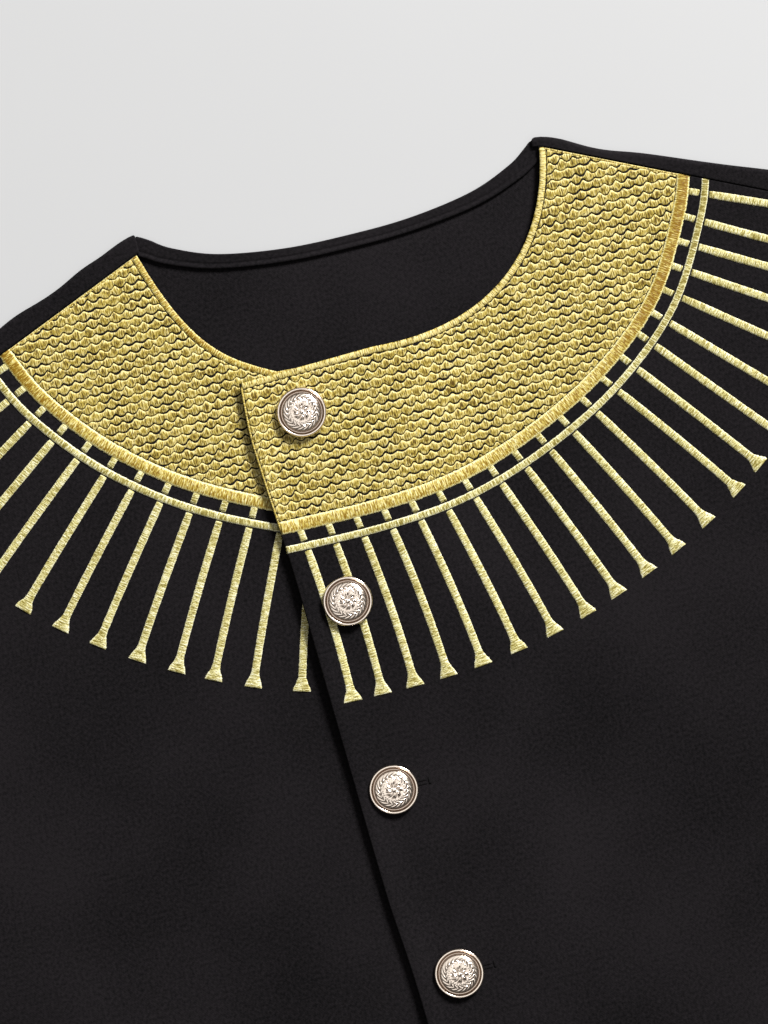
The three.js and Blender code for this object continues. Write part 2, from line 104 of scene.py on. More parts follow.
LYING_TURN = math.radians(13.7)
VIEW_CENTRE = (-0.0134, 0.2588)
VIEW_HEIGHT = 0.4711  # metres from the top of the picture to its bottom
VIEW_LEVEL = 0.005  # metres above the floor, where that height holds
LENS = 100.0
SENSOR = 36.0

camera_data = bpy.data.cameras.new("overhead")
camera_data.lens = LENS
camera_data.sensor_width = SENSOR
camera = stand("overhead", camera_data)
camera.location = (*VIEW_CENTRE, VIEW_LEVEL + VIEW_HEIGHT * LENS / SENSOR)
camera.rotation_euler = (0, 0, -LYING_TURN)
bpy.context.scene.camera = camera


def softbox(name, place, aim, size, power):
    """A square area light at place, turned to face aim."""
    data = bpy.data.lights.new(name, "AREA")
    data.size = size
    data.energy = power
    lamp = stand(name, data)
    lamp.location = place
    way = np.array(aim, float) - np.array(place, float)
    tilt = math.acos(-way[2] / np.linalg.norm(way))
    lamp.rotation_euler = (tilt, 0, math.atan2(way[0], -way[1]) + math.pi)
    return lamp


softbox("key_softbox", (3.6, 4.0, 3.4), (0, 0.2, 0), 1.7, 730)
# a white card overhead, there for the polished buttons to mirror: it lights nothing else
card = softbox("ceiling_card", (-0.7, 0.85, 2.3), (-0.7, 0.84, 0), 4.4, 46)
mirrors = bpy.data.collections.new("mirrors_the_card")
card.light_linking.receiver_collection = mirrors

world = bpy.data.worlds.new("studio")
bpy.context.scene.world = world
world.use_nodes = True
sky = world.node_tree
# A white ceiling that falls off to dark walls, so that polished metal has something dark to reflect.
direction = add(sky, "SeparateXYZ", {0: add(sky, "TexCoord")})
ceiling = add(sky, "ValToRGB", {0: direction.outputs["Z"]})
stops = ceiling.color_ramp.elements
stops[0].position, stops[0].color = 0.1, (0.045, 0.035, 0.028, 1)
stops[1].position, stops[1].color = 0.85, (1, 1, 1, 1)
stops.new(0.6).color = (0.24, 0.22, 0.2, 1)
sky.links.new(ceiling.outputs[0], sky.nodes["Background"].inputs[0])
sky.nodes["Background"].inputs[1].default_value = 0.4
# colours come out as the plain sRGB they are given in
bpy.context.scene.view_settings.view_transform = "Standard"

# ---- Back ----
# One width of black suiting. It lies flat, rolls forward over each shoulder and ends at a seam on the
# front, so the shoulder seam shows a strip of the back. Drafted in millimetres from the shoulder line down.

CLOTH = 1.3  # thickness of the cloth
SEAM_GAP = 0.3
FRONT_LEVEL = 3.2  # height of the fronts' underside
LENGTH = 818.0
NECK_HALF, NECK_TOP = 95.5, 2.3
SHOULDER_HALF = 245.0
SHOULDER_SLOPE = math.radians(22)
SEAM_LEFT = (4.2, math.radians(24.8))  # the shoulder seam's drop below the fold at the neck, and its slope
SEAM_RIGHT = (8.8, math.radians(22.8))
UNDERARM = np.array((282.0, -290.0))
HEM_CORNER = np.array((300.0, -LENGTH))
LIFT_Y = (LENGTH - NECK_TOP) / 2  # the drafting origin is the shoulder line, the part's is its middle
LIP = np.array((0.12, 0.35, 0.7))  # steps in from a cut edge over which the cloth rounds off
WELD = 2e-7  # metres, the distance at which points count as one


def bezier(a, b, c, d, steps=60):
    """Points of a cubic Bezier curve: its corners weighted by (1-t)^3, 3t(1-t)^2, 3t^2(1-t) and t^3."""
    t = np.linspace(0, 1, steps)[:, None]
    corners = [np.array(p, float) for p in (a, b, c, d)]
    weights = ((1 - t) ** 3, 3 * t * (1 - t) ** 2, 3 * t**2 * (1 - t), t**3)
    return sum(w * p for w, p in zip(weights, corners))


def spline(points, steps=40):
    """A smooth line through points: between two of them each piece is a cubic whose slope at a point is half
    the step from its last neighbour to its next one (Catmull-Rom)."""
    p = np.array(points, float)
    p = np.concatenate([p[:1], p, p[-1:]])
    t = np.linspace(0, 1, steps, endpoint=False)[None, :, None]
    a, b, c, d = (p[k : len(p) - 3 + k, None] for k in range(4))
    s0, s1 = (c - a) / 2, (d - b) / 2
    body = (2 * b - 2 * c + s0 + s1) * t**3 + (3 * c - 3 * b - 2 * s0 - s1) * t**2 + s0 * t + b
    return np.concatenate([body.reshape(-1, 2), p[-1:]])


def lengths(line):
    """Distance along a line at each of its points."""
    return np.r_[0, np.cumsum(np.linalg.norm(np.diff(line, axis=0), axis=1))]


def walk(line, at):
    """The points of a line at the given distances along it, straight between its own points."""
    run = lengths(line)
    return np.stack([np.interp(at, run, line[:, k]) for k in range(line.shape[1])], axis=-1)


def smooth(t):
    """0 below 0, 1 above 1, and 3t^2 - 2t^3 between."""
    t = np.clip(t, 0, 1)
    return t * t * (3 - 2 * t)


def shoulder_y(x):
    """Level of the pressed fold at the shoulder: a straight slope down from the neck."""
    return NECK_TOP - (np.abs(x) - NECK_HALF) * math.tan(SHOULDER_SLOPE)


def seam_y(x):
    """Level of the shoulder seam on the front: a steeper straight slope, lower on the wearer's right."""
    drop, slope = (np.where(x > 0, left, right) for left, right in zip(SEAM_LEFT, SEAM_RIGHT))
    return NECK_TOP - drop - (np.abs(x) - NECK_HALF) * np.tan(slope)


def fold_wander(x):
    """How far the pressed shoulder fold strays from its straight line: a few soft bumps a millimetre high."""
    bumps = ((104, 9, 1.2), (-104, 9, 1.1), (124, 12, -1.2), (-122, 9, 1.3), (-158, 12, 1.6), (200, 18, 0.8))
    return sum(height * np.exp(-(((x - at) / width) ** 2)) for at, width, height in bumps)


def stations(spans, step):
    """Distances along a line made of spans: even steps that meet every joint, and close steps at its ends."""
    ends = np.r_[0, np.cumsum(spans)]
    counts = [max(2, int(round(span / step)) + 1) for span in spans]
    even = [np.linspace(a, b, count) for a, b, count in zip(ends[:-1], ends[1:], counts)]
    return np.unique(np.concatenate([*even, LIP, ends[-1] - LIP]).round(6))


def patch(low, high, left, right):
    """Points between four sides (a Coons patch): low to high, plus left to right, less the four corners'
    own blend. Row and column places run with the mean of the two sides they join."""
    def share(p, q):
        return (lengths(p) / lengths(p)[-1] + lengths(q) / lengths(q)[-1]) / 2

    u = share(low, high)[:, None, None]
    v = share(left, right)[None, :, None]
    across = (1 - v) * low[:, None] + v * high[:, None]
    up = (1 - u) * left[None] + u * right[None]
    corners = (1 - u) * (1 - v) * low[0] + u * (1 - v) * low[-1] + (1 - u) * v * high[0] + u * v * high[-1]
    return across + up - corners


def at_height(plan, z):
    """The points of a flat plan raised to height z."""
    return np.concatenate([plan, np.broadcast_to(z, plan.shape[:-1])[..., None]], axis=-1)


def rounding(away, radius=CLOTH / 2):
    """Half the cloth's thickness over its own radius, at a distance from a cut edge: a quarter circle,
    sqrt(1 - (1 - away/radius)^2), that starts at 0 on the edge and is 1 one radius in."""
    return np.sqrt(np.clip(1 - (1 - np.clip(away / radius, 0, 1)) ** 2, 0, 1))


def piece(name, grids, finish_with):
    """One mesh from grids of points in drafting millimetres, each with its texture place and an optional
    mask of the cells to keep. A grid's faces run along its first axis, then its second, or the other way
    when flip is set; under marks a flat underside. Points that meet are merged, which closes the seams."""
    points, uvs, tones, faces, unders, count = [], [], [], [], [], 0
    for grid in grids:
        p = np.asarray(grid["p"], float)
        n, m = p.shape[:2]
        uv = np.asarray(grid.get("uv", p[..., :2]), float)
        index = np.arange(n * m).reshape(n, m) + count
        quads = np.stack([index[:-1, :-1], index[1:, :-1], index[1:, 1:], index[:-1, 1:]], axis=-1)
        if grid.get("flip"):
            quads = quads[..., ::-1]
        keep = grid.get("keep")
        quads = quads[keep] if keep is not None else quads.reshape(-1, 4)
        points.append(p.reshape(-1, 3))
        uvs.append(uv.reshape(-1, 2))
        tones.append(np.broadcast_to(grid.get("tone", 0.5), (n, m)).ravel())
        faces.append(quads)
        unders.append(np.full(len(quads), "under" in grid))
        count += n * m
    points, uvs, faces = np.concatenate(points), np.concatenate(uvs), np.concatenate(faces)
    points = (points + (0, LIFT_Y, 0)) / 1000
    mesh = bpy.data.meshes.new(name)
    mesh.from_pydata(points.tolist(), [], faces.tolist())
    mesh.polygons.foreach_set("use_smooth", ~np.concatenate(unders))
    layer = mesh.uv_layers.new(name="place")
    layer.data.foreach_set("uv", uvs[faces.ravel()].ravel())
    mesh.attributes.new("tone", "FLOAT", "POINT").data.foreach_set("value", np.concatenate(tones))
    tidy = bmesh.new()
    tidy.from_mesh(mesh)
    bmesh.ops.remove_doubles(tidy, verts=tidy.verts, dist=WELD)
    bmesh.ops.dissolve_degenerate(tidy, edges=tidy.edges, dist=WELD / 2)
    loose = [v for v in tidy.verts if not v.link_faces]
    bmesh.ops.delete(tidy, geom=loose, context="VERTS")
    tidy.to_mesh(mesh)
    tidy.free()
    mesh.materials.append(finish_with)
    made = stand(name, mesh)
    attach(made, "root")
    return made


def wall(middle, half, flip, normal=(0.0, 0.0, 1.0), keep=None):
    """The two faces of a cloth: its middle surface moved half its thickness along the normal each way, with
    flip set where the grid's own faces look away from that normal."""
    shift = half[..., None] * np.asarray(normal)
    shared = {"uv": middle[..., :2], "keep": keep}
    return [{"p": middle + shift, "flip": flip, **shared}, {"p": middle - shift, "flip": not flip, **shared}]


def outline_area(*lines):
    """Area inside a closed outline, by the shoelace sum, in square metres."""
    ring = np.concatenate(lines)
    x, y = ring[:, 0], ring[:, 1]
    return abs(float(np.sum(x * np.roll(y, -1) - np.roll(x, -1) * y)) / 2) / 1e6


TWILL_LINE = 1.1  # the real twill line is 0.5 mm wide; it is drawn at 1.1 mm so that it shows
pressed = {"Roughness": 0.9, "Specular_IOR_Level": 0.07, "Sheen_Weight": 0.02}
black_suiting, tree, shader = finish("black_worsted_twill", **pressed)
# Worsted suiting, woven in a fine twill and pressed: deep matt black, a faint diagonal, a dusty sheen.
place = add(tree, "UVMap", uv_map="place")
slant = add(tree, "VectorMath", {0: place, 1: (1.0, 0.85, 0.0)}, operation="DOT_PRODUCT")
turns = add(tree, "Math", {0: slant.outputs["Value"], 1: 2 * math.pi / TWILL_LINE}, operation="MULTIPLY")
twill = add(tree, "Math", {0: turns}, operation="SINE")
# uneven yarn, in spots of 1.4 mm and finer, and soft wear in patches of 80 mm
slub = add(tree, "TexNoise", {"Vector": place, "Scale": 0.7, "Detail": 4.0, "Roughness": 0.7})
cloud = add(tree, "TexNoise", {"Vector": place, "Scale": 0.012, "Detail": 3.0})
weave = add(tree, "Math", {0: twill, 1: 0.25, 2: slub}, operation="MULTIPLY_ADD")
bump = add(tree, "Bump", {"Strength": 0.35, "Distance": 0.00012, "Height": weave})
tree.links.new(bump.outputs[0], shader.inputs["Normal"])
worn = add(tree, "Math", {0: cloud, 1: 0.5}, operation="MULTIPLY")
grain = add(tree, "Math", {0: slub, 1: worn}, operation="ADD")
blacks = add(tree, "ValToRGB", {0: grain})
stops = blacks.color_ramp.elements
stops[0].position, stops[0].color = 0.55, linear("#0a090a")
stops[1].position, stops[1].color = 0.9, linear("#1f1c1e")
tree.links.new(blacks.outputs[0], shader.inputs["Base Color"])

# the outline: hem corner, underarm, shoulder tip, along the pressed fold, and round the neck
SHOULDER_TIP = np.array((SHOULDER_HALF, shoulder_y(SHOULDER_HALF)))
armhole = bezier(SHOULDER_TIP, (228, -125), (224, -238), UNDERARM)
side_line = np.concatenate([[HEM_CORNER], armhole[::-1]])
neck_curve = spline([
    (-NECK_HALF, 1.9), (-93.5, 1.2), (-89, -1.4), (-80, -7.4), (-60, -15.1), (-30, -19.8), (0, -20.8),
    (30, -19.8), (60, -15.1), (80, -7.4), (88.8, -1.6), (91.8, 0.9), (NECK_HALF, 2.1),
])
neck_edge = neck_curve[np.abs(neck_curve[:, 0]) < NECK_HALF - 0.3]
roll = (FRONT_LEVEL + CLOTH) / 2  # height of the middle of the roll over the shoulder
roll_y = roll / math.cos(SHOULDER_SLOPE)
fold_x = np.linspace(NECK_HALF, SHOULDER_HALF, 40)
fold_y = shoulder_y(fold_x) - roll_y
folds = [np.stack([side * fold_x, fold_y + fold_wander(side * fold_x)], axis=1) for side in (-1, 1)]
top_line = np.concatenate([folds[0][::-1], neck_edge, folds[1]])
side_back = np.concatenate([side_line[:-1], folds[1][-1:]])

# the flat part, with columns across the back that crowd where each shoulder meets the neck
fold_spans = [lengths(fold)[-1] for fold in folds]
spans = [fold_spans[0], lengths(top_line)[-1] - sum(fold_spans), fold_spans[1]]
joints = np.round((spans[0], spans[0] + spans[1]), 6)
crowded = [joint + way * LIP for joint in joints for way in (-1, 1)]
across = np.unique(np.concatenate([stations(spans, 2.5), *crowded]))
up = stations([np.linalg.norm(UNDERARM - HEM_CORNER), lengths(side_back[1:])[-1]], 14.0)
slab = patch(
    walk(np.array([HEM_CORNER * (-1, 1), HEM_CORNER]), across / across[-1] * 2 * HEM_CORNER[0]),
    walk(top_line, across),
    walk(np.concatenate([side_back[:-1] * (-1, 1), top_line[:1]]), up),
    walk(side_back, up),
)
flat_rows = at_height(slab, CLOTH / 2)
flat_normal = np.broadcast_to((0.0, 0.0, -1.0), flat_rows.shape)
rows_flat = slab.shape[1]

# the roll: a half circle from the flat part over to the front, less full at the very corner of the neck,
# where it hangs over the corner a little, more so on the wearer's left
NECK_ROUND = 4.0  # how far from the neck that reaches
OVERHANG_LEFT, OVERHANG_RIGHT = 2.8, 0.9
fold_at = slab[:, -1]
side_of = np.where(fold_at[:, 0] > 0, 1, -1)
corner = 1 - np.clip((np.abs(fold_at[:, 0]) - NECK_HALF) / NECK_ROUND, 0, 1)
fullness = (0.75 + 0.25 * np.sqrt(1 - corner**2))[:, None]
overhang = (corner**2 * np.where(side_of > 0, OVERHANG_LEFT, OVERHANG_RIGHT) * side_of)[:, None]
turn = np.linspace(-np.pi / 2, np.pi / 2, 13)[None, 1:]
middle_radius = roll - CLOTH / 2
wrap = np.stack([
    fold_at[:, :1] - overhang * (1 + np.sin(turn)) / 2,
    fold_at[:, 1:] + fullness * middle_radius * (roll_y / roll) * np.cos(turn),
    roll + middle_radius * np.sin(turn) + 0 * fold_at[:, :1],
], axis=-1)
wrap_normal = np.stack(np.broadcast_arrays(0 * fold_at[:, :1], np.cos(turn), np.sin(turn)), axis=-1)

# the strip in front, down to the shoulder seam, puckered by the stitching next to the neck
strip = np.maximum(fold_at[:, 1] - seam_y(fold_at[:, 0]), 0.4)[:, None]
near_seam = LIP[::-1] * 0.9 * np.clip(strip / 2.5, 0, 1)
down = np.concatenate([strip * (0.18, 0.38, 0.6, 0.8), strip - near_seam, strip], axis=1)
down = np.sort(down, axis=1)
from_middle = np.abs(fold_at[:, :1])
pucker = 0.1 + 0.25 * smooth((from_middle - 97) / 4) * (1 - smooth((from_middle - 112) / 14))
pucker = pucker * np.sin(fold_at[:, :1] + 2 * np.sin(fold_at[:, :1] / 9))
strip_rows = np.stack([
    fold_at[:, :1] - overhang + 0 * down,
    fold_at[:, 1:] - down,
    FRONT_LEVEL + CLOTH / 2 + pucker * np.sin(np.pi * down / strip),
], axis=-1)
strip_normal = np.broadcast_to((0.0, 0.0, 1.0), strip_rows.shape)

# the wall's thickness rounds off at every cut edge; roll and strip stand over the shoulders alone
middle = np.concatenate([flat_rows, wrap, strip_rows], axis=1)
outward = np.concatenate([flat_normal, wrap_normal, strip_normal], axis=1)
steps_up = np.linalg.norm(np.diff(middle, axis=1), axis=2).cumsum(axis=1)
from_hem = np.concatenate([np.zeros((len(across), 1)), steps_up], axis=1)
from_side = np.minimum(across - across[0], across[-1] - across)[:, None]
from_neck = np.maximum(np.maximum(joints[0] - across, across - joints[1]), 0)[:, None]
to_seam = from_hem[:, -1:] - from_hem
to_neck = np.maximum(from_hem[:, rows_flat - 1 : rows_flat] - from_hem, 0)
over_shoulder = (across <= joints[0] + 1e-5) | (across >= joints[1] - 1e-5)
rolled = np.arange(middle.shape[1])[None] >= rows_flat - 1
near_cut = np.where(rolled, from_neck, np.hypot(from_neck, to_neck))
open_edge = np.where(over_shoulder[:, None], np.minimum(to_seam, near_cut), to_neck)
half_wall = CLOTH / 2 * rounding(np.minimum(np.minimum(from_side, from_hem), open_edge))
keep = np.ones((len(across) - 1, middle.shape[1] - 1), bool)
beyond = (across[:-1] >= joints[1] - 1e-5) | (across[1:] <= joints[0] + 1e-5)
keep[:, rows_flat - 1 :] = beyond[:, None]
# the rows run up the outside of the back, so the outer face is turned over
back = piece("back_panel", wall(middle, half_wall, True, outward, keep), black_suiting)
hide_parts("back")

# ---- The two fronts ----
# Each front is one piece of the same cloth, seamed to the back at shoulder, armhole and side. The wearer's
# left front laps over the right one, with a pressed edge that leans to the middle.

# where the sleeves lie, because the fronts come down to the seams beside them
SLEEVE_LENGTH = 600.0
CUFF = 130.0  # flat width of the cuff
sleeve_angle = math.radians(52)
SLEEVE_RUN = np.array((math.cos(sleeve_angle), -math.sin(sleeve_angle)))
CUFF_TOP = SHOULDER_TIP + SLEEVE_RUN * SLEEVE_LENGTH
CUFF_LOW = CUFF_TOP + np.array((SLEEVE_RUN[1], -SLEEVE_RUN[0])) * CUFF
LAP_END = (0.0, 50.0)  # places across, between which the upper front comes down to the lower one's level
COLLAR_END = (-220.0, -265.0)  # levels between which the embroidery under the lap runs out
THREAD_LAYER = 0.8  # height of the embroidery
SETTLE = 45.0  # distance over which the cloth comes down to its seams, hem and cuffs

# Soft creases in the cloth as it lies: x and y of both ends, half width and height.
creases = np.array([
    (262, -300, 120, -420, 26, 1.3), (270, -345, 165, -520, 24, -1.2), (205, -440, 190, -700, 28, 1.2),
    (110, -470, 95, -770, 30, -1.1), (72, -560, 66, -800, 20, 0.8), (-258, -296, -130, -400, 24, 1.4),
    (-272, -350, -150, -500, 26, -1.3), (-200, -470, -215, -740, 28, 1.1), (-120, -520, -112, -790, 30, -1.0),
    (300, -180, 400, -330, 24, 1.4), (318, -290, 420, -420, 20, -1.2), (405, -290, 470, -420, 18, 1.2),
    (500, -420, 545, -520, 18, -1.1), (-296, -170, -385, -320, 24, 1.3), (-322, -300, -430, -440, 20, -1.3),
    (-420, -300, -462, -400, 18, 1.3), (-490, -410, -535, -510, 18, -1.0),
], float)


def beside(x, y, a, b):
    """Distance from points to the straight run a to b, and how far along it they lie, 0 to 1."""
    dx, dy = b[0] - a[0], b[1] - a[1]
    t = np.clip(((x - a[0]) * dx + (y - a[1]) * dy) / (dx * dx + dy * dy), 0, 1)
    return np.hypot(x - a[0] - t * dx, y - a[1] - t * dy), t


def lie(x, y):
    """Underside of the front layer: a level sheet that settles towards side seams, hem and cuffs, plus the
    creases, each a bell across its run; then a low uneven crumple that the seams hold flat."""
    ax = np.abs(x)
    side = beside(ax, y, UNDERARM, HEM_CORNER)[0]
    sleeve = beside(ax, y, UNDERARM, CUFF_LOW)[0]
    to_cuff = -((ax - CUFF_TOP[0]) * SLEEVE_RUN[0] + (y - CUFF_TOP[1]) * SLEEVE_RUN[1])
    hem = np.where(ax < HEM_CORNER[0] + 5, y + LENGTH, SETTLE)
    seam = 1 - smooth(np.minimum(side, sleeve) / SETTLE)
    end = 1 - smooth(np.minimum(np.maximum(hem, 0), np.maximum(to_cuff, 0)) / SETTLE)
    level = FRONT_LEVEL + (CLOTH + SEAM_GAP - FRONT_LEVEL) * seam - 0.9 * end * (1 - seam)
    crease = np.zeros_like(level)
    for x0, y0, x1, y1, width, height in creases:
        away, t = beside(x, y, (x0, y0), (x1, y1))
        crease += height * np.exp(-((away / width) ** 2)) * (0.55 + 0.45 * np.sin(np.pi * t))
    held = (1 - seam) * (1 - end)
    free = held * smooth((shoulder_y(x) - y - 20) / 60)
    crumple = (
        np.sin(x / 31 + 1.3 * np.sin(y / 57)) * np.sin(y / 43 + 0.8 * np.sin(x / 71) + 0.6)
        + 0.6 * np.sin((x + 0.7 * y) / 19 + np.sin(y / 37)) * np.sin((y - 0.4 * x) / 29)
    )
    return level + np.clip(crease, -1.5, 1.4) * free + 0.09 * crumple * held


lap_edge = spline([
    (-64.1, -75.9), (-65.2, -99), (-64.3, -118), (-62.3, -144), (-60.2, -170), (-57, -250), (-54, -320),
    (-49.5, -385), (-45, -560), (-43, -LENGTH),
])
lower_edge = np.array([(-14, -75.8), (-8, -LENGTH)], float)
neck_upper = np.concatenate([[(-64.1, -75.9)], bezier((0, -73.8), (58, -77.5), (89, -46), (NECK_HALF, -1.9))])
neck_lower = np.concatenate([
    [(-14, -75.8)], bezier((-46, -74.4), (-66, -63.6), (-81, -57), (-NECK_HALF - 0.5, -6.5)),
])


def crossing(line, at, axis=1):
    """Where a line crosses each y, as x, or with axis 0 where it crosses each x, as y."""
    order = np.argsort(line[:, axis])
    return np.interp(at, line[order, axis], line[order, 1 - axis])


def lap_lift(x, y):
    """How much higher the upper front lies: cloth and collar over the lower front, nothing past the middle,
    and a little more right at its pressed edge, which springs up as a bell across 9 mm."""
    run_out = (y - COLLAR_END[0]) / (COLLAR_END[1] - COLLAR_END[0])
    collar_part = (THREAD_LAYER + SEAM_GAP) * (1 - smooth(run_out))
    from_edge = np.maximum(x - crossing(lap_edge, y), 0)
    springy = (2.2 - 0.9 * smooth((y + 200) / 70)) * np.exp(-((from_edge / 9.0) ** 2))
    over = CLOTH + SEAM_GAP + collar_part + springy * smooth((y + LENGTH - 60) / 60)
    return over * (1 - smooth((x - LAP_END[0]) / (LAP_END[1] - LAP_END[0])))


def front_top(x, y, upper):
    """The upper face of a front at drafting places x, y."""
    return lie(x, y) + CLOTH + (lap_lift(x, y) if upper else 0)


def lip_depth(plan, radius=CLOTH / 2):
    """The rounding of a sheet at every point, from its distance to the nearest of its four edges."""
    edges = (plan[:, :1], plan[:, -1:], plan[:1], plan[-1:])
    return rounding(np.min([np.linalg.norm(plan - edge, axis=2) for edge in edges], axis=0), radius)


def matched(at, length):
    """Distances moved to a line of another length: true within 1 mm of each end, stretched between."""
    stretched = np.where(at > at[-1] - 1, length - (at[-1] - at), at / at[-1] * length)
    return np.where(at < 1, at, stretched)


def front(name, neckline, edge, side, upper, node):
    """A front from its four sides: hem, neckline with shoulder seam, front edge, and side with armhole.
    The right front is drafted as a left one and mirrored."""
    mirror = np.array((side, 1))
    neckline = neckline * mirror - (0, SEAM_GAP)
    above_seam = armhole[:, 1] - seam_y(armhole[:, 0] * side) + SEAM_GAP
    tip = np.array([np.interp(0, -above_seam, armhole[:, k]) for k in (0, 1)])
    outer = np.concatenate([[HEM_CORNER], armhole[above_seam < -0.5][::-1], [tip]])
    top = np.concatenate([neckline, [tip]])
    edge = np.concatenate([neckline[:1], (edge * mirror)[1:]])[::-1]
    hem = np.stack([edge[0], outer[0]])
    along_top = stations([lengths(neckline)[-1], np.linalg.norm(tip - neckline[-1])], 4.2)
    along_side = stations([np.linalg.norm(UNDERARM - HEM_CORNER), lengths(outer[1:])[-1]], 5.5)
    plan = patch(
        walk(hem, matched(along_top, hem[1, 0] - hem[0, 0])),
        walk(top, along_top),
        walk(edge, matched(along_side, lengths(edge)[-1])),
        walk(outer, along_side),
    )
    half_wall = lip_depth(plan) * CLOTH / 2
    plan = plan * mirror
    z = front_top(plan[..., 0], plan[..., 1], upper) - CLOTH / 2
    sheets = wall(at_height(plan, z), half_wall, side < 0)
    made = piece(name, sheets, black_suiting)
    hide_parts(node)
    flat = (float(np.ptp(plan[..., 0])) / 1000, float(np.ptp(plan[..., 1])) / 1000)
    return made, flat, outline_area(top, outer[::-1][1:], edge)


front_right, right_flat, right_area = front("right_front", neck_lower, lower_edge, -1, False, "front_right")
front_left, left_flat, left_area = front("left_front", neck_upper, lap_edge, 1, True, "front_left")

# ---- Back neck facing ----
# A narrow strip of the same cloth turned to the inside of the back neck, with its own lower edge turned in:
# pressing leaves a groove beside that edge and a soft ridge along it.

FACING_CLOTH = 0.8  # thinner than the panels, being pressed hard
FACING_DEPTH, FACING_END_DEPTH = 6.5, 9.5
facing_lip = np.array((0, 0.12, 0.35, 0.55))


def offset(line, along, away):
    """Points beside a line: a distance along it, and a distance out square to it on its right-hand side."""
    slope = np.gradient(line, axis=0)
    slope /= np.linalg.norm(slope, axis=1)[:, None]
    run = lengths(line)
    ahead = np.stack([np.interp(along, run, slope[:, k]) for k in (0, 1)], axis=-1)
    ahead /= np.linalg.norm(ahead, axis=-1)[..., None]
    square = np.stack([ahead[..., 1], -ahead[..., 0]], axis=-1)
    return walk(line, along) + square * np.asarray(away)[..., None]


neck_length = lengths(neck_curve)[-1]
at = stations([neck_length - 2.2], 3.0) + 1.1
to_end = np.abs(2 * at / neck_length - 1)
depth = (FACING_DEPTH + (FACING_END_DEPTH - FACING_DEPTH) * to_end**3)[:, None]
inside = np.concatenate(
    [SEAM_GAP + facing_lip + 0 * depth, depth * np.linspace(0.15, 0.88, 16), depth - facing_lip[::-1]], axis=1
)
plan = offset(neck_curve, at[:, None], inside)
ease = 0.1 * np.sin(at / 5.1)[:, None] * np.sin(np.pi * inside / depth)
from_edge = depth - inside
ridge = 0.35 * np.exp(-(((from_edge - 0.9) / 0.8) ** 2)) - 0.3 * np.exp(-(((from_edge - 2.4) / 0.5) ** 2))
facing_z = CLOTH + SEAM_GAP + 0.7 + ease + ridge
facing_wall = wall(at_height(plan, facing_z), lip_depth(plan, 0.55) * FACING_CLOTH / 2, True)
facing = piece("neck_facing", facing_wall, black_suiting)
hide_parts("back_neck_facing")

# ---- Embroidered collar ----
# Satin stitch in gold rayon on each front: a broad band of short rows that make a chain of scales, a
# narrow cord round the neck, a wide border, a ring beyond it and flared bars that run out from the border.

ROW_PITCH = 3.85
SCALE_PERIOD, SCALE_RISE = 5.6, 0.75  # length and height of a row's waves
SCALE_HEIGHT = 0.5  # how far a row stands up
LEAST_ROW = 0.5  # where a row is lower than this, it stops
BORDER_AWAY, BORDER_WIDTH = -2.9, 6.1  # its middle, inwards of the rail, and its width
CORD_AWAY, CORD_WIDTH = 1.7, 3.0  # its middle, inwards of the neckline, and its width
BAR_LENGTH = 82.0
BAR_WIDTH, BAR_FLARE = 3.2, 5.0
RING_HALF_GAP = 0.4  # between the ring and the bars that stop at it


def rayon(name, deep, body, bright, hollow, often, grain):
    """Rayon embroidery thread, laid as satin stitch across each row: a silky gold with a streak for each
    thread, darker where the needle went in. U runs along the row and V across it, in millimetres."""
    made, tree, shader = finish(name, Roughness=0.42, Specular_IOR_Level=0.3)
    place = add(tree, "UVMap", uv_map="place")
    # threads 0.4 mm thick lie side by side; they are drawn 0.55 mm wide so that they show
    lay = add(tree, "Mapping", {"Vector": place, "Scale": (1.8, 0.22, 1.0)})
    thread = add(tree, "TexNoise", {"Vector": lay, "Scale": 1.0, "Detail": 2.0, "Roughness": 0.8})
    patchy = add(tree, "TexNoise", {"Vector": place, "Scale": 0.06, "Detail": 3.0})
    # the tone attribute carries the painted highlight and painted shade that each piece gives its stitches
    edge = add(tree, "Attribute", attribute_name="tone")
    streak = add(tree, "MapRange", {0: thread, 1: 0.3, 2: 0.7, 3: 0.18, 4: 0.82})
    streak_and_painted_light = add(tree, "Math", {0: edge.outputs["Fac"], 1: 0.42, 2: streak}, operation="MULTIPLY_ADD")
    light = add(tree, "Math", {0: patchy, 1: 0.22, 2: streak_and_painted_light}, operation="MULTIPLY_ADD")
    ramp = add(tree, "ValToRGB", {0: light})
    stops = ramp.color_ramp.elements
    stops[0].position, stops[0].color = 0.60, linear(deep)
    stops[1].position, stops[1].color = 1.0, linear(bright)
    stops.new(0.82).color = linear(body)
    prick = add(tree, "Mapping", {"Vector": place, "Scale": grain})
    pricks = add(tree, "TexNoise", {"Vector": prick, "Scale": 1.0, "Detail": 1.0})
    hole = add(tree, "MapRange", {0: pricks, 1: often, 2: often + 0.09, 3: 0.0, 4: 0.8})
    golds = add(tree, "Mix", {0: hole, 6: ramp, 7: linear(hollow)}, data_type="RGBA")
    tree.links.new(golds.outputs[2], shader.inputs["Base Color"])
    bump = add(tree, "Bump", {"Strength": 0.8, "Distance": 0.0003, "Height": thread})
    tree.links.new(bump.outputs[0], shader.inputs["Normal"])
    return made


gold_fill = rayon("gold_rayon_fill", "#5a430a", "#c5ad49", "#f0e09c", "#4a3d18", 0.57, (1.7, 0.5, 1.0))
gold_border = rayon("gold_rayon_border", "#8f6a0c", "#dac664", "#fbf2b8", "#80590c", 0.55, (1.8, 0.6, 1.0))
gold_cord = rayon("gold_rayon_cord", "#8a7a30", "#dfd58c", "#fffbd8", "#7a6d24", 0.54, (2.4, 1.8, 1.0))

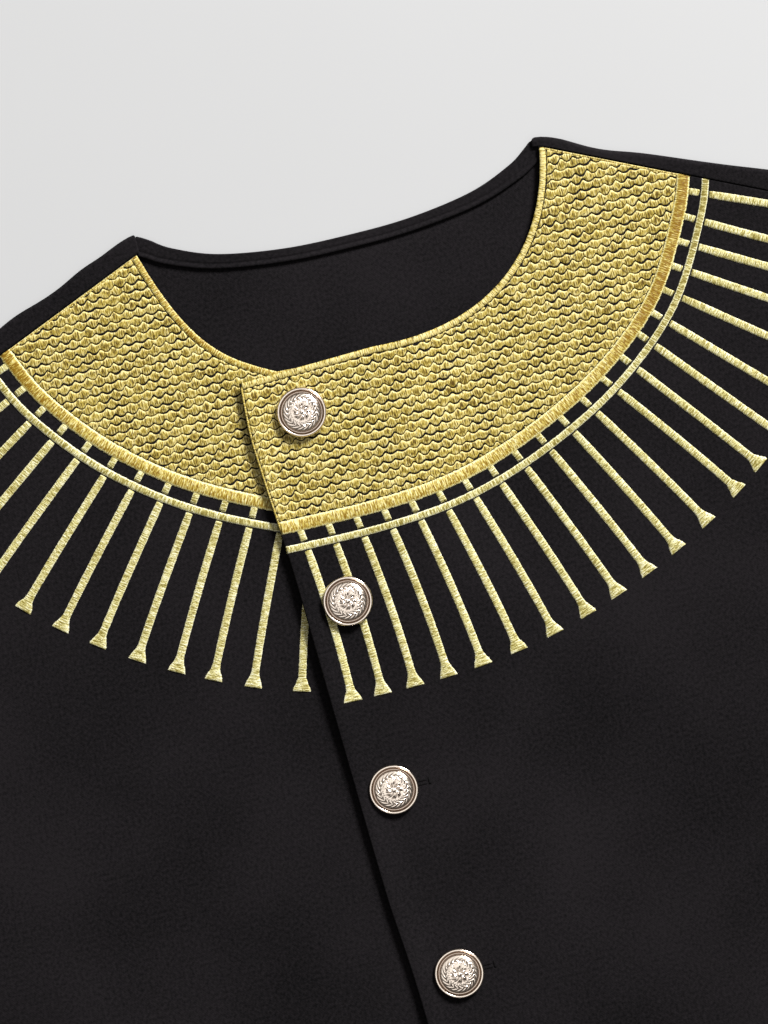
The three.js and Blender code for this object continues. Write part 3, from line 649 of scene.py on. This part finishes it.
# For each front: the rail, a line that the border, ring and bars follow, from one end to the other; the
# ring's place outwards of it and its width; how many bars, where they start along the rail, and how far each
# leans along it by its tip, both as values at a few bars; and where the rows of scales start.
collar_plan = {
    "left": {
        "side": 1, "upper": True, "neck": neck_upper, "rows_from": -62.5,
        "rail": spline([(-68, -148), (-15, -148.3), (25.7, -143.8), (64.3, -131), (101, -111.5),
                        (132.3, -84.3), (153, -49.7), (161, -28), (166, -8)]),
        "ring": (7.4, 3.4), "bars": 21, "base": ((0, 14, 20), (15.3, 200, 270.2)),
        "drift": ((0, 4, 8, 12, 14, 20), (6.3, 6, 2.4, 3.2, -0.5, -2.2)),
    },
    "right": {
        "side": -1, "upper": False, "neck": neck_lower, "rows_from": -16.5,
        "rail": spline([(-174, -18), (-168.1, -38.2), (-155.3, -63.6), (-131, -92.7), (-100.7, -116.8),
                        (-66.6, -134.8), (-40, -143.5), (-8, -148.5)]),
        "ring": (7.4, 3.6), "bars": 15, "base": ((0, 3, 14), (26, 64.6, 215)),
        "drift": ((0, 14), (-1.5, -3.3)),
    },
}


def under_seam(x, clear=0.5):
    """The highest place for stitches at x: just below the shoulder seam, or free where the neck is open."""
    return np.where(np.abs(x) > NECK_HALF - 0.5, seam_y(x) - clear, 50.0)


def over_and_under(plan, low, rise, **grid):
    """A raised patch and its flat underside, which meet wherever the rise is nothing."""
    raised, flat = at_height(plan, low + rise), at_height(plan, low + 0 * rise)
    return [{"p": raised, "flip": True, **grid}, {"p": flat, "under": True, **grid}]


def ribbon(line, width, height, upper, steps, ends, lift, seed, edge_highlight=0.3, side_highlight=0.0, painted_shade=(0.0, -125.0)):
    """A satin-stitched bar: a low dome, sqrt(1 - |v|^2.4) across, carried along a line and flat underneath,
    as wide as width says at each point, its ends rounded off, and cut straight where it meets the shoulder
    seam. Each stitch's own length is a little uneven. The last three arguments set light painted into its
    tone: a painted highlight on both edges, a painted highlight on its left-hand side, and painted shade that
    deepens its middle up from a level, a painted highlight instead where that amount is below nothing."""
    run = lengths(line)
    v = np.cos(np.linspace(np.pi, 0, steps))
    ragged = 1 + 0.03 * np.random.default_rng(seed).standard_normal(len(line))
    half = (np.asarray(width) / 2 * ragged)[:, None]
    plan = offset(line, run[:, None], half * v)
    plan[..., 1] = np.minimum(plan[..., 1], under_seam(plan[..., 0]))
    dome = np.sqrt(np.clip(1 - np.abs(v) ** 2.4, 0, 1))[None]
    tip = np.clip(np.minimum(run, run[-1] - run) / ends, 0, 1)[:, None]
    tip = np.sqrt(1 - (1 - tip) ** 2)
    low = front_top(plan[..., 0], plan[..., 1], upper) - 0.08 + lift * tip
    # a place of its own in the thread pattern for each seed
    uv = np.stack([np.broadcast_to(run[:, None] + seed * 37.7, low.shape), half * v + seed * 5.3], axis=-1)
    # painted light in the tone: painted shade up from a level, and a painted highlight on both edges and the
    # left-hand side
    near = painted_shade[0] * smooth((plan[..., 1] - painted_shade[1]) / 60)
    rim = smooth((np.abs(v) - 0.66) / 0.26)
    tone = (0.44 - 0.12 * edge_highlight - side_highlight * v - near) * (1 - rim) + (0.5 + edge_highlight) * rim
    return over_and_under(plan, low, height * dome * tip, uv=uv, tone=tone)


def scales(spec):
    """The band's fill: rows of short upright stitches between wavy lines. Line k lies k row pitches down,
    with a wave whose crests move half a period on each new line, so the rows swell and narrow in turn. Each
    row is a low dome between two lines, cut off by the neck cord, the shoulder seam and the border."""
    side, upper = spec["side"], spec["upper"]
    neck = offset(spec["neck"], np.linspace(0.5, lengths(spec["neck"])[-1], 200), 3.5 * side)
    rail = offset(spec["rail"], np.linspace(0, lengths(spec["rail"])[-1], 300), -6.1)
    t = np.array((0.0, 0.06, 0.14, 0.27, 0.46, 0.66, 0.84, 0.94, 1.0))[None]
    sways = np.random.default_rng(7 + side).normal(0, 0.45, (60, 2))

    def wavy(k, x):
        phase = 2 * np.pi * x / SCALE_PERIOD + np.pi * k + sways[k][0]
        loose = 1 + 0.3 * np.sin(x / 7.3 + 2.1 * k) + 0.18 * np.sin(x / 2.9 + 1.3 * k)
        wave = loose * (np.cos(phase) + 0.2 * np.cos(2 * phase)) * SCALE_RISE
        return -ROW_PITCH * k + wave + 0.22 * np.sin(x / 23 + 4 * sways[k][1])

    grids = []
    for k in range(40):
        level = -ROW_PITCH * (k + 0.5)
        under_lap = upper and level < lap_edge[0, 1] + 1.9
        start = crossing(lap_edge, level) + 0.9 if under_lap else spec["rows_from"]
        x = np.arange(start, side * 170, 0.8 * side)[:, None]
        # the cloth shows between two rows in a slit of uneven width, less so at the front edge
        busy = 0.4 + 0.6 * smooth((np.abs(x - start) - 2) / 9)
        slit = 0.27 + 0.17 * np.sin(x / 3.7 + 5 * np.sin(k * 1.7)) + 0.13 * np.sin(x / 1.3 + 2.0 * k)
        slit = np.clip(slit, -0.05, 0.5) * busy
        ragged = 0.3 * np.sin(2.1 * x + 1.7 * k)
        below_neck = np.abs(x) < abs(neck[-1, 0])
        ceiling = np.where(below_neck, crossing(neck, x, axis=0) + ragged, under_seam(x, 1.3))
        floor = crossing(rail, x, axis=0) + ragged
        high = np.clip(wavy(k, x) - slit, floor, ceiling)
        low = np.minimum(np.clip(wavy(k + 1, x) + slit, floor, ceiling), high)
        tall = high - low
        raised = tall > LEAST_ROW
        raised[[0, -1]] = False
        kept = raised[:-1] | raised[1:]
        if not kept.any():
            continue
        y = np.where(raised, high - tall * t, (high + low) / 2)  # each row's ends come to a point
        dome = np.sqrt(np.clip(1 - np.abs(2 * t - 1) ** 2.2, 0, 1)) * np.clip(tall / 1.5, 0, 1)
        step = np.clip(tall, 0, 0.14) * ((t > 0) & (t < 1))
        base = front_top(x + 0 * y, y, upper) - 0.1
        # painted highlight along both edges where the stitches turn down, stronger on the upper one; deeper
        # in the middle where the row is widest
        rim_highlight = np.exp(-(((t - 0.1) / 0.1) ** 2)) + 0.5 * np.exp(-(((t - 0.9) / 0.1) ** 2))
        swell = np.clip(tall / ROW_PITCH, 0, 1.6)
        tone = 0.42 + 0.62 * rim_highlight - 0.5 * (swell - 0.8) * np.exp(-(((t - 0.55) / 0.2) ** 2))
        uv = np.stack([x + k * 3.1 + 0 * y, y + k * 11.0], axis=-1)
        point = np.stack([x + 0 * y, y, base + raised * (step + SCALE_HEIGHT * dome)], axis=-1)
        whole = np.repeat(kept, t.size - 1, axis=1)
        rims = [0, -1]
        grids.append({"p": point, "uv": uv, "flip": side > 0, "tone": tone, "keep": whole})
        grids.append({"p": point[:, rims], "uv": uv[:, rims], "flip": side < 0, "keep": kept, "under": True})
    return grids


def along_rail(spec, away, step, start=0.0):
    """The line beside the rail at one distance from it, from the front edge to the shoulder seam. The rail's
    ends lie past those two."""
    rail = spec["rail"]
    skip_first, skip_last = (6.5, 0.0) if spec["side"] > 0 else (0.0, 6.0)
    at = np.arange(skip_first + start, lengths(rail)[-1] - skip_last, step)
    line = offset(rail, at, away)
    return line[line[:, 1] < under_seam(line[:, 0], -2.5)]


def edging(spec):
    """The neck cord, a thin pale line along the shoulder seam, and one down the lap edge if upper."""
    side, upper, neck = spec["side"], spec["upper"], spec["neck"]
    neck_at = np.arange(0.6 if upper else 4.0, lengths(neck)[-1] - 0.3, 0.8)
    line = offset(neck, neck_at, CORD_AWAY * side)
    # painted light on the neck cord: a painted highlight down its middle on the upper front, painted shade on
    # the lower one
    painted_shade = (-0.3 if upper else 0.2, -125.0)
    strips = ribbon(line, CORD_WIDTH, 0.7, upper, 11, 0.5, 0.06, seed=11, edge_highlight=0.1, painted_shade=painted_shade)
    seam_x = np.arange(NECK_HALF + 1.2, 159.0 if upper else 168.0, 0.8) * side
    line = np.stack([seam_x, seam_y(seam_x) - 1.1], axis=1)[::side]
    # a painted highlight on both edges of the seam line
    strips += ribbon(line, 1.1, 0.45, upper, 7, 0.5, 0.05, seed=13, edge_highlight=0.5)
    if upper:
        edge_at = np.arange(1.8, 71.5, 1.2)
        line = offset(lap_edge, edge_at, -0.75)
        strips += ribbon(line, 0.9, 0.5, upper, 7, 0.6, 0.04, seed=12)
    return strips


def ring_and_bars(spec, fade_from):
    """The ring, and for each bar a short foot between border and ring and a long stem that starts again past
    the ring. A bar's line runs out square to the rail and drifts along it by 1 - (1 - s)^2 of its lean."""
    upper, (away, width) = spec["upper"], spec["ring"]
    line = along_rail(spec, away, 0.8, 0.5)
    # a painted highlight on both edges of the ring, and painted shade up from fade_from
    strips = ribbon(line, width, 0.7, upper, 11, 0.6, 0.12, seed=21, edge_highlight=0.7, painted_shade=(0.22, fade_from))
    foot = np.linspace(-0.8, away - width / 2 - RING_HALF_GAP, 6)
    stem = np.arange(away + width / 2 + 0.35, BAR_LENGTH - 0.8, 0.75)
    stem = np.r_[stem, BAR_LENGTH - 0.4, BAR_LENGTH]
    for n in range(spec["bars"]):
        start, drift = np.interp(n, *spec["base"]), np.interp(n, *spec["drift"])
        for stretch in (foot, stem):
            turned = 1 - (1 - np.maximum(stretch, 0) / BAR_LENGTH) ** 2
            line = offset(spec["rail"], start + drift * turned, stretch)
            flare = smooth((stretch - (BAR_LENGTH - 9)) / 9) ** 1.6
            broad = BAR_WIDTH + 0.5 * smooth((stretch - 8) / 8) + BAR_FLARE * flare
            inside = (line[:, 1] < under_seam(line[:, 0], -1.5)) & (np.abs(line[:, 0]) < 226)
            if not upper:
                inside &= line[:, 0] < -17
            if inside.sum() > 3:
                # each bar with a painted highlight on both edges
                strips += ribbon(line[inside], broad[inside], 0.62, upper, 9, 0.4, 0.03, seed=31 + n)
    return strips


for name, spec in collar_plan.items():
    upper = spec["upper"]
    fade_from = -128.0 if upper else -88.0  # the level up from which border and ring are painted deeper, as painted shade
    line = along_rail(spec, BORDER_AWAY, 0.6)
    # painted highlight on both edges and the left-hand side, painted shade up from fade_from
    border = ribbon(line, BORDER_WIDTH, 0.9, upper, 15, 0.6, 0.05, 3, 0.55, 0.14, (0.36, fade_from))
    scales_made = piece(f"collar_scales_{name}", scales(spec), gold_fill)
    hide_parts(f"collar_{name}")
    piece(f"collar_border_{name}", border, gold_border)
    # the cord on the lower front takes the deeper border gold as painted shade
    piece(f"collar_cord_{name}", edging(spec), gold_fill if upper else gold_border)
    piece(f"collar_bars_{name}", ring_and_bars(spec, fade_from), gold_cord)

# ---- Buttons ----
# Shank buttons stamped from plated brass in a pale rose gold: a thin rim, a groove, a domed middle with a
# raised wreath, all polished, with painted shade darkening the hollows and grooves. The shank passes
# through the slit and is sewn to the lower front.

BUTTON_RADIUS = 11.5
BUTTON_PITCH = 89.1
BUTTONS = 7
TOP_BUTTON_Y = -95.7
UNDER_SHADE = 0.3  # painted shade on the back of the cap and the shank, which lie under the button

numbers = np.arange(BUTTONS)
button_y = TOP_BUTTON_Y - BUTTON_PITCH * numbers
button_x = np.where(numbers < 3, -39.2, -30 + 6 * (numbers - 3) / 3)  # the lower ones follow the lap edge

rose_plate, tree, shader = finish("rose_gold_plated_brass", Metallic=1.0, Roughness=0.17)
# Plated brass, polished: bright and pinkish, with painted shade brown in the hollows and grooves, and fine
# wear in spots of 1 mm.
hollow = add(tree, "Attribute", attribute_name="tone")
plate_and_hollow_shade = {0: hollow.outputs["Fac"], 6: linear("#f5e6d6"), 7: linear("#5c4029")}
shine = add(tree, "Mix", plate_and_hollow_shade, data_type="RGBA")
tree.links.new(shine.outputs[2], shader.inputs["Base Color"])
where = add(tree, "TexCoord")
dull = add(tree, "TexNoise", {"Vector": where.outputs["Object"], "Scale": 900.0, "Detail": 3.0})
rough = add(tree, "MapRange", {0: dull, 1: 0.3, 2: 0.7, 3: 0.12, 4: 0.26})
tree.links.new(rough.outputs[0], shader.inputs["Roughness"])


def button_face(r, a):
    """Height over the cap's back at radius r and angle a: a rounded rim, a hollow round a steep dome, and
    on it a ring of leaves, a beaded line and an eight-petalled flower, each a low wave in r and a."""
    rim = 1.7 + 1.3 * np.sqrt(np.clip(1 - ((r - 10.65) / 0.87) ** 2, 0, 1))
    groove = 1.75 + 0.5 * ((r - 9.3) / 0.6) ** 2
    dome = 2.3 + 3.3 * np.sqrt(np.clip(1 - (r / 9.9) ** 2, 0, 1))
    cliff = smooth((r - 8.6) / 0.35)
    z = np.where(r > 9.85, np.maximum(rim, 1.9), dome * (1 - cliff) + groove * cliff)
    leaf = np.cos(20 * a + 4.5 * np.abs(r - 6.6)) * np.exp(-(((r - 6.6) / 0.95) ** 2))
    beads = np.cos(30 * a) * np.exp(-(((r - 5.0) / 0.3) ** 2))
    petals = (np.cos(8 * a) * 0.6 + 0.5 * np.cos(16 * a + 2.2 * r)) * np.exp(-(((r - 2.9) / 1.25) ** 2))
    petals *= np.minimum(r / 0.5, 1)  # level at the very middle, where all the petals meet
    heart = np.exp(-((r / 0.9) ** 2)) + 0.4 * np.cos(2.6 * r) * np.exp(-((r / 3.6) ** 2))
    relief = 0.34 * leaf + 0.25 * beads + 0.42 * petals + 0.35 * heart
    inner = 1 - smooth((r - 7.9) / 0.5)
    z = z + relief * inner * 0.8
    # painted shade: darker in the low parts of the wreath and flower, in the groove inside the rim and at the
    # foot of the dome
    hollow_shade = np.clip(0.02 - 2.2 * relief, 0, 1) * inner
    hollow_shade = np.maximum(hollow_shade, 0.8 * np.exp(-(((r - 9.8) / 0.22) ** 2)))
    hollow_shade = np.maximum(hollow_shade, 0.9 * np.exp(-(((r - 8.9) / 0.35) ** 2)))
    return z, hollow_shade


# rings of points from the middle out, closer at the foot of the dome and over the rim
radii = np.r_[
    0.0, np.linspace(0.25, 8.5, 44), np.linspace(8.6, 9.0, 5), np.linspace(9.15, 9.8, 5),
    np.linspace(9.86, BUTTON_RADIUS, 18),
]
around = np.linspace(0, 2 * np.pi, 121)
# radius and height of the back of the cap and the shank; the last two points go down to the lower front
behind = np.array([(11.25, 0.45), (10.6, 0.2), (4.0, 0.0), (1.5, -0.1), (1.3, -0.5), (1.3, -2.2), (0, -2.2)])

for n in range(BUTTONS):
    x, y = float(button_x[n]), float(button_y[n])
    on_collar = SEAM_GAP + THREAD_LAYER if n < 2 else 0.0
    base = float(front_top(x, y, True)) + on_collar + 0.5
    a = around[None] + 0.7 * n  # no two stand quite alike
    z, hollow_shade = button_face(radii[:, None], a)
    drop = base + behind[:, 1]
    drop[-2:] = float(front_top(x, y, False)) + on_collar + SEAM_GAP
    r = np.r_[radii, behind[:, 0]][:, None]
    level = np.concatenate([base - 0.6 + z, drop[:, None] + 0 * a])
    tone = np.concatenate([hollow_shade, np.full((len(behind), around.size), UNDER_SHADE)])
    cap = {"p": np.stack([x + r * np.cos(a), y + r * np.sin(a), level], axis=-1), "tone": tone}
    made = piece(f"brass_button_{n + 1}", [cap], rose_plate)
    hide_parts(f"button_{n + 1}")
    mirrors.objects.link(made)

# ---- Buttonholes ----
# A slit for each button in the upper front, worked round in black buttonhole twist with a bar at its end.

black_twist, tree, shader = finish("black_buttonhole_twist", Roughness=0.8, Specular_IOR_Level=0.1)
# Polyester twist, close over-and-over stitches: black with a slight gloss on each stitch.
place = add(tree, "UVMap", uv_map="place")
lay = add(tree, "Mapping", {"Vector": place, "Scale": (2.2, 0.2, 1.0)})
stitch = add(tree, "TexNoise", {"Vector": lay, "Scale": 1.0, "Detail": 2.0})
blacks = add(tree, "Mix", {0: stitch, 6: linear("#050405"), 7: linear("#161415")}, data_type="RGBA")
tree.links.new(blacks.outputs[2], shader.inputs["Base Color"])
bump = add(tree, "Bump", {"Strength": 0.8, "Distance": 0.0003, "Height": stitch})
tree.links.new(bump.outputs[0], shader.inputs["Normal"])

HIDDEN_HOLE, HOLE = 10.0, 16.6  # from the button's middle; on the collar the hole stays under the button
worked = []
for n in range(BUTTONS):
    x, y = float(button_x[n]), float(button_y[n])
    far = HIDDEN_HOLE if n < 2 else HOLE
    for beside_slit in (-0.85, 0.85):
        out = np.arange(1.5, far, 0.8)
        line = np.stack([x + out, y + beside_slit + 0 * out], axis=1)
        worked += ribbon(line, 1.0, 0.3, True, 7, 0.5, 0.04, seed=60 + n)
    rise = np.arange(-1.9, 2.0, 0.6)
    line = np.stack([x + far + 0.3 + 0 * rise, y + rise], axis=1)
    worked += ribbon(line, 1.2, 0.4, True, 7, 0.5, 0.04, seed=80 + n)
piece("buttonholes", worked, black_twist)

# ---- Sleeves ----
# Each sleeve is one piece folded along the top and seamed underneath, set into the armhole, and lies flat
# as a tube with its cuff open.

SLEEVE_WALL = CLOTH * 0.8
rings = np.linspace(0, 1, 96)[:, None]
half_turn = np.linspace(-np.pi / 2, np.pi / 2, 9)[None]


def sleeve_point(share):
    """Places down the flat sleeve: straight from a share along the armhole to the same share of the cuff."""
    start = walk(armhole, share * lengths(armhole)[-1]) + SLEEVE_RUN * 0.45
    end = CUFF_TOP + (CUFF_LOW - CUFF_TOP) * share[..., None]
    return start + (end - start) * (rings + 0 * share)[..., None]


def sleeve_tube(side, skin):
    """The sleeve's surface one skin in from its outside, as closed rings from the armhole to the cuff. Each
    ring is the top layer and the bottom layer, joined by a half circle at the fold and one at the seam."""
    def level(share):
        p = sleeve_point(share)
        return lie(side * p[..., 0], p[..., 1])

    none = np.zeros_like(rings)
    width = np.linalg.norm(sleeve_point(none) - sleeve_point(none + 1), axis=-1)
    fold = (level(none + 0.02) + CLOTH) / 2
    seam = (level(none + 0.995) + CLOTH) / 2
    top_shares = np.linspace(0.05, 0.95, 34)[None] + none
    low_shares = np.linspace(0.94, 0.06, 20)[None] + none
    shares = np.concatenate([
        (fold - (fold - skin) * np.cos(half_turn)) / width,
        top_shares,
        1 - (seam - (seam - skin) * np.cos(half_turn)) / width,
        low_shares,
    ], axis=1)
    heights = np.concatenate([
        fold + (fold - skin) * np.sin(half_turn),
        level(top_shares) + CLOTH - skin,
        seam - (seam - skin) * np.sin(half_turn),
        skin + 0 * low_shares,
    ], axis=1)
    closed = at_height(sleeve_point(np.clip(shares, 0, 1)) * (side, 1), heights)
    return np.concatenate([closed, closed[:, :1]], axis=1)


for side, name in ((1, "left"), (-1, "right")):
    outer, inner = sleeve_tube(side, 0.0), sleeve_tube(side, SLEEVE_WALL)
    uv = np.stack(np.broadcast_arrays(lengths(outer[40])[None], rings * SLEEVE_LENGTH), axis=-1)
    turned = side < 0
    made = piece(f"{name}_sleeve", [
        {"p": outer, "uv": uv, "flip": not turned},
        {"p": inner, "uv": uv, "flip": turned},
        {"p": np.stack([outer[0], inner[0]]), "uv": uv[:2], "flip": turned},
        {"p": np.stack([outer[-1], inner[-1]]), "uv": uv[:2], "flip": not turned},
    ], black_suiting)
    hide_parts(f"sleeve_{name}")

# ---- Topstitching ----
# Short lockstitches in black thread along the hem and the cuffs.

STITCH, STITCH_GAP = 2.2, 0.9
STITCH_WIDTH, STITCH_HEIGHT = 0.45, 0.12
HEM_TURN = 22.0  # how far the stitching lies from the edge


def stitches(line, upper):
    """One low dome for each stitch: its middle stands at even steps along the line, and its height over the
    cloth is cos(pi s) cos(pi w), with s and w its places along and across, from -0.5 to 0.5."""
    at = np.arange(STITCH / 2, lengths(line)[-1] - STITCH / 2, STITCH + STITCH_GAP)
    s = np.linspace(-0.5, 0.5, 5)
    w = np.linspace(-0.5, 0.5, 4)
    centre = at[:, None] + s[None] * STITCH
    plan = offset(line, centre[..., None], w * STITCH_WIDTH)
    low = front_top(plan[..., 0], plan[..., 1], upper) - 0.03
    rise = STITCH_HEIGHT * np.cos(np.pi * s)[:, None] * np.cos(np.pi * w)
    return [half for i in range(len(at)) for half in over_and_under(plan[i], low[i], rise)]


stitch_level = -LENGTH + HEM_TURN
sewn = []
for start, end, upper in ((-298.5, -56, False), (-40, 298.5, True)):
    sewn += stitches(np.array([(start, stitch_level), (end, stitch_level)]), upper)
for side in (1, -1):
    cuff = np.stack([CUFF_TOP, CUFF_LOW]) - SLEEVE_RUN * HEM_TURN
    cuff = (cuff + (cuff[::-1] - cuff) * 0.03) * (side, 1)
    sewn += stitches(cuff, upper=False)
piece("topstitching", sewn, black_twist)
